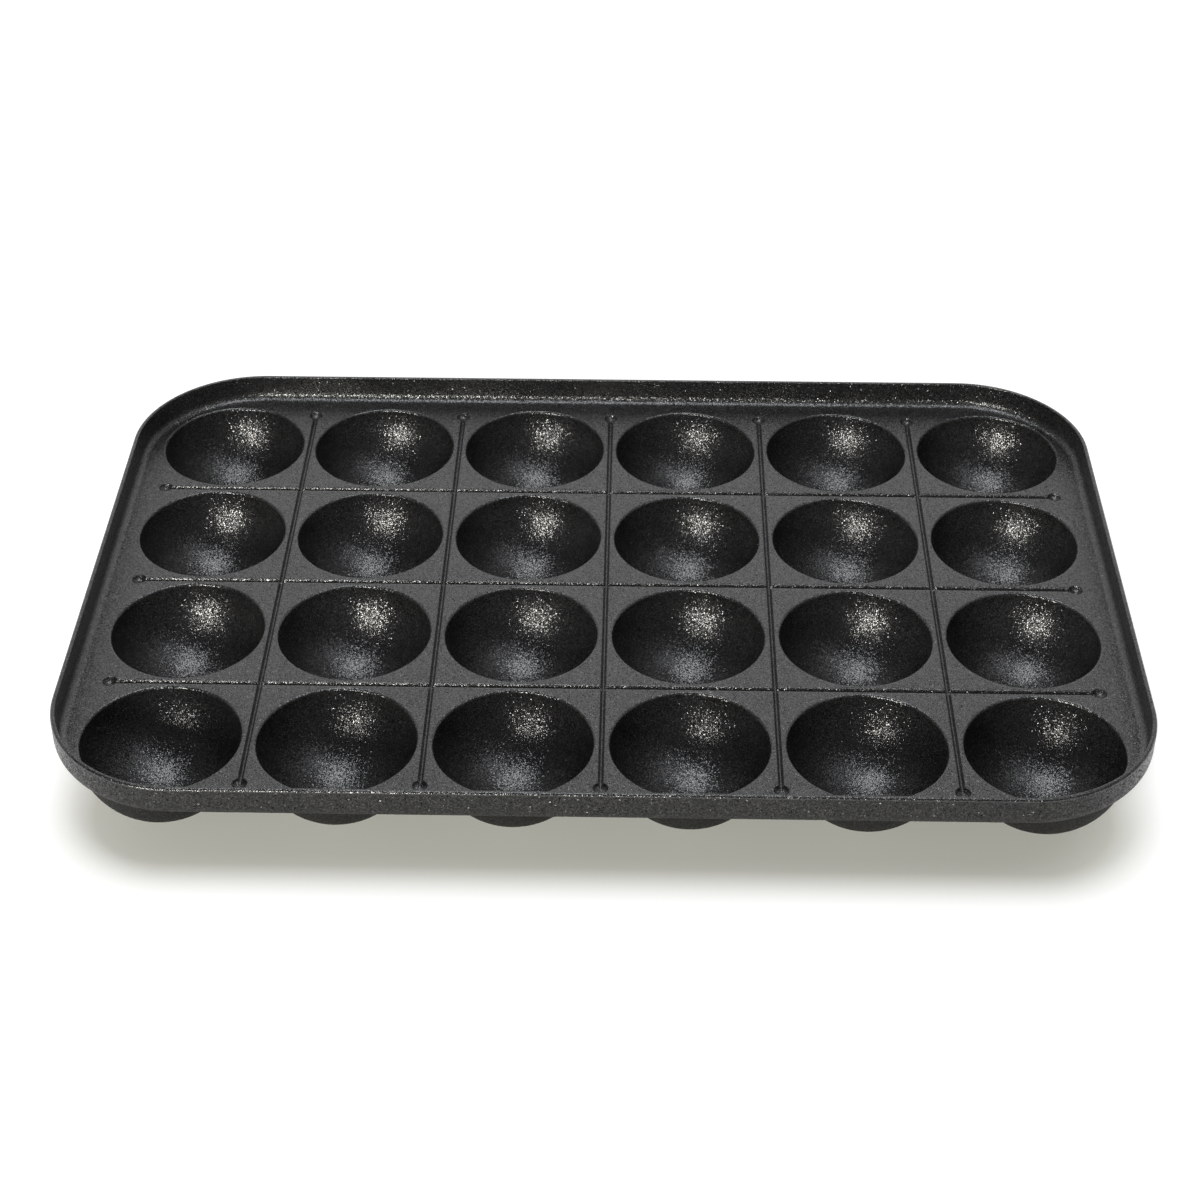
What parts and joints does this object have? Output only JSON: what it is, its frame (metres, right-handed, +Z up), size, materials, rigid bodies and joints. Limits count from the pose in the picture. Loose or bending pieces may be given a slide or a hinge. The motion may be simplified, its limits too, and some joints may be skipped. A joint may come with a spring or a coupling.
{
  "type": "takoyaki maker",
  "caption": "Rectangular cast griddle plate with a raised rim and a grid of hemispherical wells, for cooking batter balls over a hob.",
  "frame": {"origin": "on the table under the middle of the plate, level with the bowls' resting flats", "axes": "+X along the six columns (the long side), +Y from the front row to the back row, +Z up"},
  "size_m": [0.3124, 0.2124, 0.0317],
  "materials": {
    "nonstick_casting": "grainy dark non-stick coating on cast aluminium, satin"
  },
  "bodies": {
    "root": {"rim": "nonstick_casting", "well_r1_c1": "nonstick_casting", "well_r1_c2": "nonstick_casting", "well_r1_c3": "nonstick_casting", "well_r1_c4": "nonstick_casting", "well_r1_c5": "nonstick_casting", "well_r1_c6": "nonstick_casting", "well_r2_c1": "nonstick_casting", "well_r2_c2": "nonstick_casting", "well_r2_c3": "nonstick_casting", "well_r2_c4": "nonstick_casting", "well_r2_c5": "nonstick_casting", "well_r2_c6": "nonstick_casting", "well_r3_c1": "nonstick_casting", "well_r3_c2": "nonstick_casting", "well_r3_c3": "nonstick_casting", "well_r3_c4": "nonstick_casting", "well_r3_c5": "nonstick_casting", "well_r3_c6": "nonstick_casting", "well_r4_c1": "nonstick_casting", "well_r4_c2": "nonstick_casting", "well_r4_c3": "nonstick_casting", "well_r4_c4": "nonstick_casting", "well_r4_c5": "nonstick_casting", "well_r4_c6": "nonstick_casting"}
  },
  "joints": []
}
